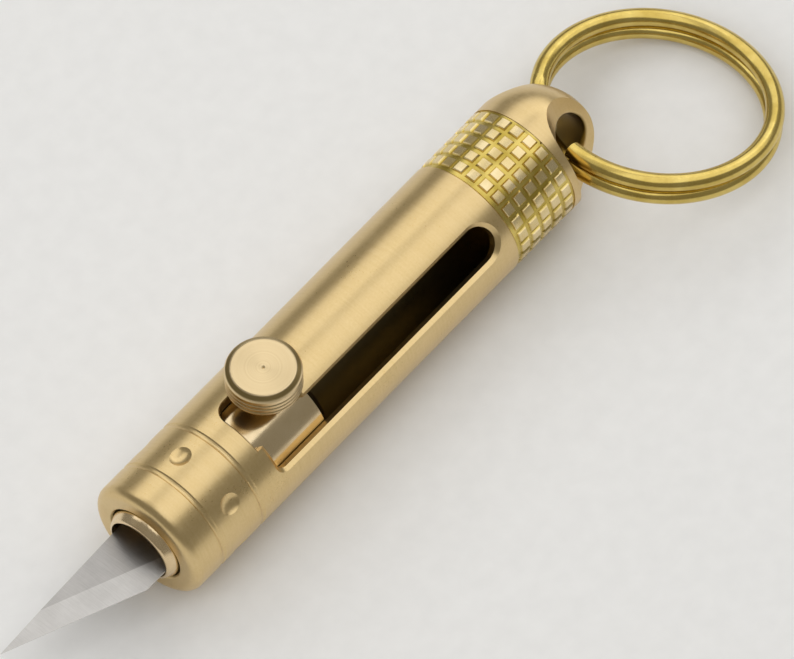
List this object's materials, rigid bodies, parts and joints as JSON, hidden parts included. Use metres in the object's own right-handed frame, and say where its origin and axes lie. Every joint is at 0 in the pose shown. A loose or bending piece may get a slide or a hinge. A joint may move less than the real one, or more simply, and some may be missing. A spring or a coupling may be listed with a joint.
{
  "type": "pocket craft knife",
  "caption": "Round bolt-action pocket craft knife with a pointed blade, knurled tail and split key ring; the knob runs in a long slot and locks in a side notch.",
  "frame": {"origin": "on the barrel's axis, half way along the body from the front face to the top of the dome", "axes": "+X from the blade to the key ring, +Z out through the bolt's knob; the long slot is on the -Y side"},
  "size_m": [0.091, 0.0227, 0.0154],
  "materials": {
    "body_brass": "satin",
    "bright_brass": "polished",
    "blade_steel": "ground",
    "spring_steel": "bright"
  },
  "bodies": {
    "housing": {"nose_cap": "body_brass", "barrel": "body_brass", "tail_cap": "body_brass", "return_spring": "spring_steel"},
    "washer": {"thrust_washer": "spring_steel"},
    "bolt": {"blade_carrier": "body_brass", "bolt_stem": "body_brass", "bolt_knob": "body_brass", "chuck_tube": "bright_brass", "upper_jaw": "body_brass", "lower_jaw": "body_brass", "blade": "blade_steel"},
    "ring": {"split_ring": "bright_brass"}
  },
  "joints": [
    {"name": "blade_slide", "type": "slide", "parent": "housing", "child": "washer", "axis": [-1, 0, 0], "range_m": [0, 0.0024], "stiffness_N_per_m": 120, "springref_m": -0.024, "deforming": ["return_spring"]},
    {"name": "bolt_turn", "type": "hinge", "parent": "washer", "child": "bolt", "pos_m": [-0.0128, 0, 0], "axis": [1, 0, 0], "range_deg": [0, 49.3]},
    {"name": "ring_swing", "type": "hinge", "parent": "housing", "child": "ring", "pos_m": [0.02535, 0, 0], "axis": [0, -0.9397, 0.342], "range_deg": [0, 30]}
  ]
}
